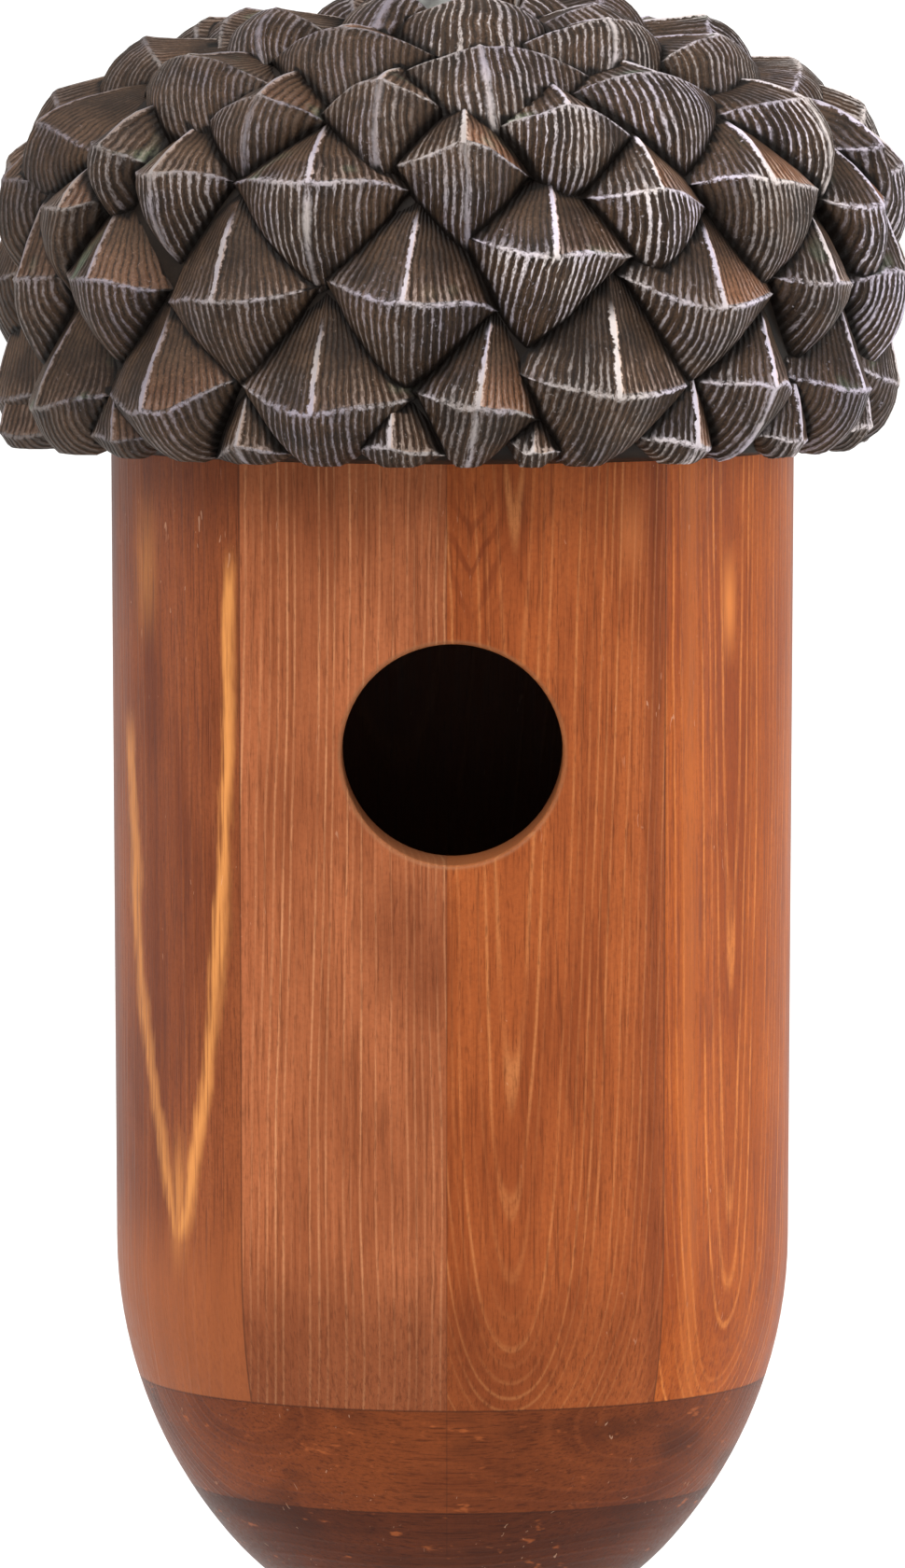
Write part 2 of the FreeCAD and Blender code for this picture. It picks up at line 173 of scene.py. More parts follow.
# Rows from the rim up.  A scale in front is given by its beak, left end, right end, top and foot, each as
# (azimuth in degrees, millimetres above the rim), and by its relief as a share of the row's.  These places
# were read off the photograph by eye, laid onto the cap's outline by a scratch script, rounded and adjusted.
# None is left to the row's usual shape.  The rest of each row is spaced evenly.  above, below and lift are
# millimetres from the beak to the top, to the foot and up to the ends.  The seventh row is only at the back.
ROWS = [
    dict(count=17, up=2.5, shift=0.5, above=9.0, below=7.0, lift=-1.0, relief=0.62, width=0.62, front=[
        ((-84, 2.5), None, None, None, None, 1.9),
        ((-51, 3), None, None, None, None, 1),
        ((-29, 3.5), (-35.5, 0.5), (-22, 1.5), (-28.5, 10.5), None, 1),
        ((-8, 3.5), (-13.5, 2.5), (-1, 2), (-8, 11.5), None, 1),
        ((10.5, 3), (6.5, 4.5), (16, 2.5), (11, 8), None, 1),
        ((33.5, 3.5), (25, 4.5), (39, 2.5), (33.5, 15), None, 1),
        ((53, 3), None, None, None, None, 1)]),
    dict(count=17, up=10.8, shift=0, above=16.5, below=12.0, lift=2.0, relief=1.0, width=1, front=[
        ((-88, 8), None, None, None, None, 1.04),
        ((-65, 8), (-77, 11), (-53, 11), (-59.5, 23.5), None, 1),
        ((-41.5, 9), (-52.5, 11), (-29.5, 14), (-40, 25), (-38, 0), 1),
        ((-17.5, 9), (-29, 13.5), (-5.5, 11.5), (-17, 25), (-19, -1), 1),
        ((3, 10.5), (-5, 12.5), (11.5, 8), (5, 23), (1.5, 0), 1),
        ((20.5, 12), (9, 16), (33, 14), (21, 29), (17.5, -1), 1),
        ((43, 13), (33.5, 15), (51, 11), (45, 25), (40, 1), 1),
        ((62, 11.5), (51.5, 14), (74, 10), (63, 25.5), (60, 0), 1),
        ((84, 11), None, None, None, None, 0.72),
        ((104, 12), None, None, None, None, 0.8)]),
    dict(count=17, up=29.5, shift=0.5, above=16.0, below=13.5, lift=1.5, relief=1.0, width=1, front=[
        ((-69, 30), None, (-61, 32), None, None, 1),
        ((-50, 31), (-62, 33), (-41.5, 29.5), (-51.5, 42), (-50, 18.5), 1),
        ((-30.5, 28), (-40.5, 28), (-17.5, 31), (-30, 43), (-29, 15.5), 1),
        ((-6, 28.5), (-17.5, 33), (5, 26.5), (-4.5, 42), (-6.5, 15.5), 1),
        ((12.5, 36), (1, 40), (24, 37), (13.5, 48), (10, 23), 1),
        ((35, 27), (23.5, 32), (47.5, 28.5), (35, 41), (33, 15.5), 1),
        ((55, 30.5), (46.5, 31.5), (66, 28.5), (56, 42), (53.5, 19), 1),
        ((76, 31), (66, 30), None, None, None, 1)]),
    dict(count=17, up=48.0, shift=0, above=14.0, below=14.0, lift=1.0, relief=1.0, width=1, front=[
        ((-57.5, 43), (-72, 43), (-52.5, 44.5), (-61, 50), (-62, 30), 1),
        ((-41, 49.5), (-49, 50), (-31.5, 48.5), (-41.5, 57), (-39.5, 36.5), 1),
        ((-18, 48.5), (-31, 48.5), (-6, 48), (-19.5, 57), (-18, 32.5), 1),
        ((1.5, 55), (-8, 51), (10.5, 50), (2, 61), (2, 39.5), 1),
        ((27, 47.5), (18, 46), (36, 44), (27.5, 56), (28.5, 34), 1),
        ((44, 48), (34.5, 48), (60, 46.5), (45.5, 58), (45, 32), 1),
        ((67, 43), (58.5, 45.5), (79, 44), (73, 52), (70, 29.5), 1)]),
    dict(count=17, up=60.0, shift=0.5, above=15.0, below=12.5, lift=-2.0, relief=1.0, width=1, front=[
        ((-75, 57), None, (-60, 52.5), None, None, 1),
        ((-52, 53.5), (-62, 53), (-46, 50.5), None, (-51.5, 42.5), 1),
        ((-29, 63.5), (-40, 58), (-20.5, 58.5), None, (-29.5, 50), 1),
        ((-11, 66), (-20.5, 60), (-1.7, 60.5), None, (-10, 50), 1),
        ((16.2, 61.5), (6.6, 57), (27, 56), None, (15.2, 47.5), 1),
        ((33, 67), (19.5, 63), (48, 61), None, (34.5, 52.5), 1),
        ((58.5, 61.5), (45, 59), (71.5, 58), None, (60, 46), 1),
        ((77, 53), (72.5, 52.5), None, None, None, 1)]),
    dict(count=10, up=69.5, shift=0, above=13.0, below=11.5, lift=-2.5, relief=0.95, width=1, front=[
        ((-50.5, 69), (-67, 63.5), (-32.5, 64), None, (-41.5, 56.5), 1),
        ((-24, 74.5), (-42.5, 69), (-4.3, 70), None, (-18.7, 63.5), 1),
        ((5, 71), (-10.5, 66.5), (27, 65.5), None, (6, 58), 1),
        ((37, 75.5), (17, 71), (58, 70), None, (28.5, 65), 1),
        ((62, 72.5), (47.5, 68), (82, 65.2), None, (54, 62.8), 1)]),
    dict(count=6, up=75.0, shift=0, above=12.0, below=11.5, lift=-2.5, relief=0.9, width=1, front=[
        ((100, 75), (86, 69), None, None, None, 1),
        ((131, 74.5), None, None, None, None, 1),
        ((160, 75.3), None, None, None, None, 1),
        ((190, 74.6), None, None, None, None, 1),
        ((221, 75.2), None, None, None, None, 1),
        ((251, 74.8), None, (266, 69), None, None, 1)]),
    dict(count=8, up=77.5, shift=0.5, above=12.0, below=10.0, lift=-2.5, relief=0.8, width=1, front=[
        ((-62, 77.3), (-86, 72), (-46, 73.5), None, (-45, 69.5), 1),
        ((-24, 80), (-58, 75.5), (-8, 75.5), None, (-22, 72.5), 1),
        ((7, 79.5), (-20, 74), (36, 74), None, (4, 70), 1.1),
        ((50, 78), (27, 74), (76, 73), None, None, 1)]),
    dict(count=6, up=79.5, shift=0.2, above=7.0, below=9.0, lift=-1.5, relief=0.6, width=1, front=[]),
]


def row_scales(row, outline, rng):
    """Each scale of a row: its beak (azimuth in radians, distance walked), radius, corners and relief.

    The corners are its left end, right end, top and foot, as distances across and up from the beak.
    """
    scales = list(row["front"])
    missing = row["count"] - len(scales)
    start = scales[-1][0][0] if scales else row["shift"] * 360 / row["count"]
    span = 360 - (scales[-1][0][0] - scales[0][0][0]) if scales else 360
    step = span / (missing + 1) if scales else span / missing
    for k in range(missing):
        turn = start + step * (k + 1) + rng.uniform(-2.2, 2.2)
        scales.append(((turn, row["up"] + rng.uniform(-2.0, 2.4)), None, None, None, None, 1))
    turns = [scale[0][0] for scale in scales]
    placed = []
    for i, scale in enumerate(scales):
        relief = RELIEF * row["relief"] * scale[5]
        beak = (math.radians(turns[i]), outline.walked_to(scale[0][1] * MM, relief - VALLEY_DROP))
        radius = float(np.interp(beak[1], outline.walked, outline.radius))
        before, after = (turns[i] - turns[i - 1]) % 360, (turns[(i + 1) % len(turns)] - turns[i]) % 360
        usual = (None,
                 (-math.radians(before / 2) * row["width"], row["lift"] + rng.uniform(-1.5, 1.5)),
                 (math.radians(after / 2) * row["width"], row["lift"] + rng.uniform(-1.5, 1.5)),
                 (rng.uniform(-1.6, 1.6) * MM / radius, row["above"] + rng.uniform(-1.0, 1.5)),
                 (rng.uniform(-1.6, 1.6) * MM / radius, -row["below"] + rng.uniform(-1.0, 1.0)))
        corners = []
        for given, (turn, walk) in zip(scale[1:5], usual[1:]):
            if given:
                dip = min(given[1], 0) * MM
                turn = math.radians(given[0]) - beak[0]
                walk = outline.walked_to(max(given[1], 0) * MM) + dip - beak[1]
            else:
                walk *= MM
            corners.append((turn * radius * GROW, walk * (GROW if len(corners) != 2 else TOP_GROW)))
        placed.append((beak, radius, corners, relief))
    return placed


def spread(count, end, crowd):
    """Numbers from 0 to end that crowd towards 0."""
    return end * (np.linspace(0, 1, count) ** crowd)


class ScaleMesh:
    """Vertices, faces and per-vertex values of all the scales, each a closed shell of its own."""

    def __init__(self, outline):
        self.outline = outline
        self.points, self.faces = [], []
        self.values = {name: [] for name in ("stripe", "crest_mm", "keel_mm", "across", "tone", "part")}
        self.count = 0

    def add(self, place, row, rng):
        """A scale: two upper faces that fan out from its top to the crest, and one lower face under it."""
        (turn, walk), radius, (left, right, top, foot), relief = place
        relief *= rng.uniform(0.92, 1.06)
        side = spread(COLUMNS, FOOT, 1.25)
        across = np.concatenate([-side[:0:-1], side])
        share = np.abs(across)
        end_x, end_y = np.where(across < 0, left[0], right[0]), np.where(across < 0, left[1], right[1])
        bend = 1.25 if row["lift"] < 0 else 1.7
        crest_x, crest_y = end_x * share, end_y * share ** bend
        waves = [(rng.uniform(1.5, 5.5), rng.uniform(0, 6.3)) for _ in range(4)]
        wobble = sum(np.sin(across * pitch + start) for pitch, start in waves) * WOBBLE
        crest_y = crest_y + wobble * np.minimum(1, share * 4)
        crest_h = relief * (1 - share ** CREST_POWER)
        foot_h = -relief * (FOOT - 1) * 1.2
        top_x, top_y = top[0] * FOOT, top[1] * FOOT
        inside = np.minimum(share, 1)
        foot_x = crest_x * 0.94 + foot[0] * (1 - inside)
        foot_round = rng.uniform(1.35, 1.75)
        run_on = np.where(share < 1, 1 + (FOOT - 1) * (1 - inside), 1)
        foot_y = (foot[1] + (end_y - foot[1]) * share ** foot_round) * run_on

        upper = 1 - spread(11, 1, 1.5)[::-1]
        lower = spread(13, 1, 1.25)[1:]
        rows_x, rows_y, rows_h, to_crest = [], [], [], []
        for t in upper:
            rows_x.append(top_x * (1 - t) + crest_x * t ** FAN_POWER)
            rows_y.append(top_y + (crest_y - top_y) * t)
            hollow = HOLLOW * relief * math.sin(math.pi * t) * share * np.maximum(0, 1.1 - share)
            rows_h.append(foot_h + (crest_h - foot_h) * t - hollow)
            to_crest.append(np.full_like(across, (1 - t) * top_y))
        for t in lower:
            rows_x.append(crest_x + (foot_x - crest_x) * t)
            rows_y.append(crest_y + (foot_y - crest_y) * t)
            rows_h.append(crest_h + (foot_h - crest_h) * t ** LOWER_POWER)
            to_crest.append(-t * np.hypot(crest_y - foot_y, crest_h - foot_h))
        x, y, h = (np.array(rows) for rows in (rows_x, rows_y, rows_h))
        crest = np.array(to_crest)
        t_upper = np.clip(1 - crest / top_y, 0, 1)
        keel = np.abs(np.broadcast_to(crest_x, x.shape)) * np.where(crest >= 0, t_upper ** FAN_POWER, 1)
        bead = KEEL_BEAD * np.exp(-(keel / KEEL_BEAD_W) ** 2) * (crest > 0.2 * MM) * np.sqrt(t_upper)
        bead += CREST_BEAD * np.exp(-(crest / CREST_BEAD_W) ** 2)
        h = h + bead

        points = self.outline.point(walk + y, h - VALLEY_DROP, turn + x / radius)
        root = self.outline.point(np.array([walk]), np.array([ROOT]), np.array([turn]))

        n_rows, n_columns = x.shape
        first = self.count
        apex_and_rest = slice(n_columns - 1, None)       # the first row is one point
        index = np.arange(n_rows * n_columns).reshape(n_rows, n_columns) + first - n_columns + 1
        index[0] = first
        self.points += [points.reshape(-1, 3)[apex_and_rest], root]
        for i in range(n_rows - 1):
            for j in range(n_columns - 1):
                corners = (index[i, j], index[i + 1, j], index[i + 1, j + 1], index[i, j + 1])
                self.faces.append(corners[1:] if i == 0 else corners)
        middle = index[0, 0]
        loop = [index[i, 0] for i in range(1, n_rows)] + list(index[-1, 1:])
        loop += [index[i, -1] for i in range(n_rows - 2, 0, -1)]
        under = first + (n_rows - 1) * n_columns + 1
        for a, b in zip([middle] + loop, loop + [middle]):
            self.faces.append((under, b, a))
        tone = rng.random()
        side = np.broadcast_to(across, x.shape)
        part = np.where(crest > 0, np.where(side > 0, 2.0, 1.0), 0.0)
        stripe = np.broadcast_to(crest_x / STRIPE, x.shape) + tone * 7
        values = {"stripe": stripe, "crest_mm": crest / MM, "keel_mm": keel / MM, "across": side,
                  "tone": np.full(x.shape, tone), "part": part}
        for name, value in values.items():
            self.values[name] += [value.reshape(-1)[apex_and_rest], [0.0]]
        self.count = under + 1


def cap_dome_mesh(outline):
    """The cap without its scales, closed all round: dome, pad, bolt hole, hollow, ledge, socket and rim."""
    inset = VALLEY_DROP + 0.5 * MM
    steps = np.linspace(0, outline.length, DOME_RINGS)
    outer = [(float(p[1]) * -1, float(p[2])) for p in
             (outline.point(np.array([s]), np.array([-inset]), np.array([0.0]))[0] for s in steps)]
    seat_r, height = BODY_R - LEDGE_W, CROWN_Z - CAP_WALL - WALL_TOP_Z
    hole_turn = math.acos(BOLT_HOLE_R / seat_r)
    turns = np.linspace(hole_turn, 0, ARCH_RINGS)
    arch = [(seat_r * math.cos(a), WALL_TOP_Z + height * math.sin(a)) for a in turns]
    socket_r = BODY_R + SOCKET_GAP
    profile = outer + [(CROWN_PAD_R, CROWN_Z - 0.02 * MM), (BOLT_HOLE_R, CROWN_Z - 0.02 * MM)] + arch
    profile += [(socket_r - 0.3 * MM, WALL_TOP_Z), (socket_r, WALL_TOP_Z - 0.3 * MM)]
    profile += [(socket_r, RIM_Z + 0.5 * MM), (socket_r + 0.5 * MM, RIM_Z)]
    turns = np.arange(DOME_SPOKES) * 2 * math.pi / DOME_SPOKES
    points = np.array([[r * math.sin(t), -r * math.cos(t), z] for t in turns for r, z in profile])
    n = len(profile)
    faces = []
    for i in range(DOME_SPOKES):
        for j in range(n):
            a, b = i * n, ((i + 1) % DOME_SPOKES) * n
            k = (j + 1) % n
            faces.append((a + j, b + j, b + k, a + k))
    return points, faces


def roughen(points, normals):
    """The casting's unevenness: moves points along their normals by smooth noise."""
    moved = points.copy()
    for i, (p, n) in enumerate(zip(points, normals)):
        v = Vector(p)
        big = noise.noise(v / ROUGH_BIG_SIZE)
        small = noise.noise(v / ROUGH_SMALL_SIZE + Vector((7, 3, 1)))
        moved[i] = p + n * (ROUGH_BIG * big + ROUGH_SMALL * small)
    return moved


def vertex_normals(mesh):
    normals = np.empty(len(mesh.vertices) * 3)
    mesh.vertex_normals.foreach_get("vector", normals)
    return normals.reshape(-1, 3)


def hidden_share(points, normals, tree, rays, reach):
    """How much of the sky over each point is taken by the cap itself nearby, from 0 to 1."""
    directions = []
    for k in range(rays):
        lift = math.sqrt(1 - (k + 0.5) / rays)
        turn = k * math.pi * (3 - math.sqrt(5))
        flat = math.sqrt(1 - lift ** 2)
        directions.append((flat * math.cos(turn), flat * math.sin(turn), lift))
    found = np.zeros(len(points))
    for i, (p, n) in enumerate(zip(points, normals)):
        normal = Vector(n)
        side = normal.orthogonal().normalized()
        other = normal.cross(side)
        start = Vector(p) + normal * 0.25 * MM
        total = 0.0
        for x, y, z in directions:
            hit = tree.ray_cast(start, side * x + other * y + normal * z, reach)
            if hit[0] is not None:
                total += 1 - hit[3] / reach
        found[i] = total / rays
    return found


def build_cap():
    """The whole cap as one mesh, with the values that its material reads at each vertex."""
    rng = random.Random(SEED)
    outline = Outline()
    scales = ScaleMesh(outline)
    for row in ROWS:
        for place in row_scales(row, outline, rng):
            scales.add(place, row, rng)
    dome_points, dome_faces = cap_dome_mesh(outline)
    first = scales.count
    points = np.concatenate(scales.points + [dome_points])
    faces = scales.faces + [tuple(first + i for i in face) for face in dome_faces]
    mesh = bpy.data.meshes.new("acorn_cap")
    mesh.from_pydata(points.tolist(), [], faces)
    mesh.update()
    normals = vertex_normals(mesh)
    carved = points.copy()
    carved[:first] = roughen(points[:first], normals[:first])
    carved[:, 2] = np.maximum(carved[:, 2], RIM_Z)
    mesh.vertices.foreach_set("co", carved.reshape(-1))
    mesh.update()
    tree = BVHTree.FromPolygons([Vector(p) for p in carved], faces)
    normals = vertex_normals(mesh)
    # how much of its own sky each point of the cap loses; the material turns this into painted shade in the
    # valleys
    grime = np.zeros(len(points))
    rays = SHADE_RAYS
    grime[:first] = hidden_share(carved[:first], normals[:first], tree, rays, SHADE_REACH)
    for name, parts in scales.values.items():
        value = np.concatenate(parts + [np.zeros(len(dome_points))])
        mesh.attributes.new(name, "FLOAT", "POINT").data.foreach_set("value", value)
    mesh.attributes.new("grime", "FLOAT", "POINT").data.foreach_set("value", grime)
    is_scale = np.concatenate([np.ones(first), np.zeros(len(dome_points))])
    mesh.attributes.new("is_scale", "FLOAT", "POINT").data.foreach_set("value", is_scale)
    mesh.shade_smooth()
    mesh.set_sharp_from_angle(angle=SHARP_ANGLE)
    cap = bpy.data.objects.new("acorn_cap", mesh)
    bpy.context.collection.objects.link(cap)
    return cap


# ---------------------------------------------------------------- a short way to write shader nodes
def srgb(red, green, blue):
    """A colour given as 0 to 255 in sRGB, as a linear colour."""
    channels = [((c / 255 + 0.055) / 1.055) ** 2.4 if c > 10 else c / 3294.6 for c in (red, green, blue)]
    return (*channels, 1.0)


class Shader:
    """One material's node tree, written as expressions."""

    def __init__(self, name):
        self.material = bpy.data.materials.new(name)
        self.material.use_nodes = True
        self.tree = self.material.node_tree
        self.surface = self.tree.nodes["Principled BSDF"]

    def node(self, kind, inputs=(), **settings):
        made = self.tree.nodes.new("ShaderNode" + kind)
        for key, value in settings.items():
            setattr(made, key, value)
        for key, value in dict(inputs).items():
            self.feed(made.inputs[key], value)
        return made

    def feed(self, socket, value):
        if isinstance(value, bpy.types.NodeSocket):
            self.tree.links.new(value, socket)
        elif socket.type == "VECTOR":
            socket.default_value = value[:3]
        else:
            socket.default_value = value

    def math(self, operation, *values):
        return self.node("Math", enumerate(values), operation=operation).outputs[0]

    def add(self, a, b):
        return self.math("ADD", a, b)

    def sub(self, a, b):
        return self.math("SUBTRACT", a, b)

    def mul(self, a, b):
        return self.math("MULTIPLY", a, b)

    def total(self, *values):
        result = values[0]
        for value in values[1:]:
            result = self.add(result, value)
        return result

    def step(self, value, low, high, to_low=0.0, to_high=1.0):
        """A smooth step from to_low to to_high while value goes from low to high."""
        inputs = {0: value, 1: low, 2: high, 3: to_low, 4: to_high}
        return self.node("MapRange", inputs, interpolation_type="SMOOTHSTEP").outputs[0]

    def near(self, value, centre, width):
        """1 where value is at centre, falling smoothly to 0 at width from it."""
        return self.step(self.math("ABSOLUTE", self.sub(value, centre)), 0.0, width, 1.0, 0.0)

    def mix(self, share, a, b):
        made = self.node("Mix", data_type="RGBA")
        for socket, value in ((made.inputs[0], share), (made.inputs[6], a), (made.inputs[7], b)):
            self.feed(socket, value)
        return made.outputs[2]

    def scaled(self, colour, share):
        """A colour made darker or lighter by a factor."""
        return self.node("VectorMath", {0: colour, "Scale": share}, operation="SCALE").outputs[0]

    def attribute(self, name):
        return self.node("Attribute", attribute_name=name).outputs["Fac"]

    def place(self):
        """The point's own x, y and z in millimetres."""
        here = self.node("TexCoord").outputs["Object"]
        return self.node("SeparateXYZ", {0: self.scaled(here, 1000.0)}).outputs

    def vector(self, x, y, z):
        return self.node("CombineXYZ", {0: x, 1: y, 2: z}).outputs[0]

    def noise(self, vector, scale=1.0, detail=3.0, rough=0.5, warp=0.0):
        inputs = {"Vector": vector, "Scale": scale, "Detail": detail, "Roughness": rough, "Distortion": warp}
        return self.node("TexNoise", inputs).outputs["Fac"]

    def bump(self, height, distance, strength=1.0):
        """Uses a height from 0 to 1, distance in metres."""
        made = self.node("Bump", {"Height": height, "Distance": distance, "Strength": strength})
        self.feed(self.surface.inputs["Normal"], made.outputs[0])

    def finish(self, colour, roughness, **constants):
        self.feed(self.surface.inputs["Base Color"], colour)
        self.feed(self.surface.inputs["Roughness"], roughness)
        for name, value in constants.items():
            self.surface.inputs[name.replace("_", " ").title().replace("Ior", "IOR")].default_value = value
        return self.material


# ---------------------------------------------------------------- the cap's finish
def cap_material():
    """Dark cast resin, dry-brushed pale on its crests, keels and grooves, with brown and green tints; painted
    shade darkens its valleys, grooves and the gaps between the scales, and painted light from the right makes
    its right side and the right faces of its scales lighter and browner.
    """
    s = Shader("cast_cap")
    x, y, z = s.place()
    here = s.vector(x, y, z)
    stripe, crest, keel = s.attribute("stripe"), s.attribute("crest_mm"), s.attribute("keel_mm")
    tone, part, grime = s.attribute("tone"), s.attribute("part"), s.attribute("grime")
    across, is_scale = s.math("ABSOLUTE", s.attribute("across")), s.attribute("is_scale")
    upper = s.step(crest, -0.1, 0.1)
    lower = s.sub(1.0, upper)
    right = s.mul(s.step(part, 1.4, 1.6), upper)

    cloud = s.noise(here, 0.12, 4.0, 0.6)
    speck = s.noise(here, 1.8, 3.0, 0.7)
    patch = s.noise(here, 0.05, 2.0, 0.5)
    wander = s.sub(s.noise(here, 0.06, 2.0, 0.5), 0.5)
    jag = s.sub(s.noise(here, 1.4, 3.0, 0.7), 0.5)

    base = s.mix(s.step(cloud, 0.3, 0.72), srgb(34, 24, 17), srgb(62, 46, 34))
    near_crest = s.step(crest, 10.0, 0.5, 0.10, 1.0)
    # a brown tint on the right upper faces of some scales, kept mostly to the cap's right half: partly the
    # resin's tint, partly painted light from the right
    warm = s.mul(s.mul(right, near_crest), s.step(s.add(tone, s.mul(patch, 0.6)), 0.86, 1.12, 0.06, 0.62))
    warm = s.mul(warm, s.step(x, -45.0, 15.0, 0.35, 1.0))
    base = s.mix(warm, base, srgb(122, 82, 58))
    green = s.mul(s.step(s.noise(here, 0.07, 2.0, 0.5), 0.60, 0.70), s.mul(near_crest, upper))
    base = s.mix(s.mul(green, 0.45), base, srgb(84, 98, 80))
    base = s.mix(s.step(speck, 0.46, 0.74, 0.0, 0.6), base, s.scaled(base, 2.2))

    # each groove has its own strength and width, and the paint breaks up along it
    bend = s.sub(s.noise(here, 0.28, 2.0, 0.5), 0.5)
    along = s.total(stripe, s.mul(wander, 2.0), s.mul(bend, s.add(s.mul(upper, 0.5), 0.25)), s.mul(jag, 0.36))
    number = s.math("FLOOR", along)
    own = s.node("TexWhiteNoise", {"Vector": s.vector(number, s.mul(tone, 97.0), part)}).outputs["Value"]
    off_ridge = s.math("ABSOLUTE", s.sub(s.math("FRACT", along), 0.5))
    broken = s.noise(s.vector(s.mul(along, 1.7), s.mul(tone, 50.0), s.mul(crest, 0.22)), 1.0, 4.0, 0.7)
    ragged = s.noise(s.vector(s.mul(along, 4.0), s.mul(tone, 30.0), s.mul(crest, 1.1)), 1.0, 2.0, 0.6)
    by_crest = s.math("EXPONENT", s.mul(s.mul(crest, crest), -0.5))
    wide = s.total(s.mul(own, 0.20), s.mul(s.sub(broken, 0.5), 0.75), s.mul(by_crest, 0.12), 0.01)
    stroke = s.mul(s.step(s.sub(off_ridge, wide), 0.07, -0.06), s.step(ragged, 0.36, 0.58, 0.25, 1.0))
    # the painted middle of a lower face lies a little to one side of its keel
    aside = s.mul(s.sub(s.math("FRACT", s.mul(tone, 11.3)), 0.5), 0.55)
    middle = s.step(s.math("ABSOLUTE", s.sub(s.attribute("across"), aside)), 0.92, 0.35, 0.0, 1.0)
    own_share = s.step(s.math("FRACT", s.mul(tone, 7.3)), 0.0, 1.0, 0.45, 1.0)
    share = s.mul(own_share, s.step(z, -88.0, -62.0, 0.55, 1.0))
    lower_paint = s.mul(s.mul(stroke, lower), s.mul(s.add(s.mul(middle, 0.95), 0.03), share))
    by_edge = s.step(crest, 8.0, 0.5, 0.06, 0.55)
    upper_paint = s.mul(s.mul(stroke, upper), s.mul(by_edge, s.step(patch, 0.36, 0.6, 0.25, 1.0)))

    chips = s.noise(here, 0.75, 3.0, 0.7)
    crest_line = s.mul(s.near(s.add(crest, s.mul(jag, 1.5)), 0.05, s.step(chips, 0.35, 0.65, 0.35, 0.85)),
                       s.step(chips, 0.36, 0.54, 0.10, 1.0))
    keel_fade = s.mul(s.step(crest, 16.0, 11.0), s.step(chips, 0.25, 0.42, 0.3, 1.0))
    keel_wide = s.step(s.total(keel, s.mul(jag, 0.6), s.step(chips, 0.3, 0.7, -0.15, -0.65)), 0.22, -0.12)
    keel_line = s.mul(s.mul(keel_wide, upper), keel_fade)
    seldom = s.step(s.math("FRACT", s.mul(tone, 3.7)), 0.55, 0.75, 0.0, 0.9)
    off_keel = s.total(keel, s.mul(jag, 0.9), s.mul(bend, 1.2))
    under_keel = s.mul(s.near(off_keel, 0.0, 0.95), s.mul(lower, seldom))
    brushed = s.math("MAXIMUM", lower_paint, upper_paint)
    brushed = s.math("MAXIMUM", brushed, s.mul(crest_line, 0.85))
    brushed = s.math("MAXIMUM", brushed, s.mul(under_keel, s.step(broken, 0.38, 0.5, 0.1, 1.0)))
    brushed = s.math("MAXIMUM", brushed, keel_line)
    open_air = s.step(grime, 0.45, 0.14, 0.05, 1.0)

    # the brushing is uneven and weaker on the crown, and it is made stronger towards the right as painted
    # light from the right
    uneven = s.step(s.noise(here, 0.055, 2.0, 0.5), 0.32, 0.66, 0.6, 1.0)
    amount = s.mul(uneven, s.step(x, -80.0, 70.0, 0.28, 1.4))
    amount = s.mul(amount, s.step(z, -50.0, -28.0, 1.0, 0.72))
    brushed = s.mul(s.mul(s.mul(brushed, open_air), is_scale), amount)
    in_places = s.step(s.noise(here, 0.16, 2.0, 0.5), 0.45, 0.65)
    dab = s.mul(s.step(s.noise(here, 1.1, 4.0, 0.75), 0.60, 0.70), in_places)
    brushed = s.math("MAXIMUM", brushed, s.mul(s.mul(dab, open_air), s.mul(amount, s.mul(is_scale, 0.5))))
    pale = s.mix(s.step(patch, 0.35, 0.65), srgb(180, 171, 184), srgb(184, 174, 170))
    # painted light: the pale paint on the right upper faces is made warmer, as if lit from the right
    pale = s.mix(s.mul(right, 0.5), pale, srgb(186, 154, 130))

    # painted shade: the recessed grooves between the strokes are darkened
    groove = s.mul(s.step(off_ridge, 0.26, 0.46), s.step(ragged, 0.3, 0.6, 0.25, 0.8))
    colour = s.mix(s.mul(groove, is_scale), base, srgb(17, 12, 9))
    colour = s.mix(brushed, colour, pale)
    # painted shade: the valleys between the scales are darkened where the cap hides its own sky
    colour = s.mix(s.step(grime, 0.09, 0.38, 0.0, 0.95), colour, srgb(12, 8, 6))
    # painted shade: the bed between the scales and the cap's inside are made near-black, so the gaps between
    # the scales read as deep shade
    colour = s.mix(s.mul(s.sub(1.0, is_scale), 0.85), colour, srgb(12, 9, 7))

    shape = s.math("COSINE", s.mul(along, 2 * math.pi))
    relief = s.total(s.mul(shape, s.add(s.mul(lower, -0.25), -0.25)), s.mul(speck, 0.5), s.mul(cloud, 0.5))
    s.bump(s.mul(relief, is_scale), 0.30 * MM, 0.9)
    return s.finish(colour, s.step(brushed, 0.0, 1.0, 0.55, 0.8), specular_ior_level=0.10)


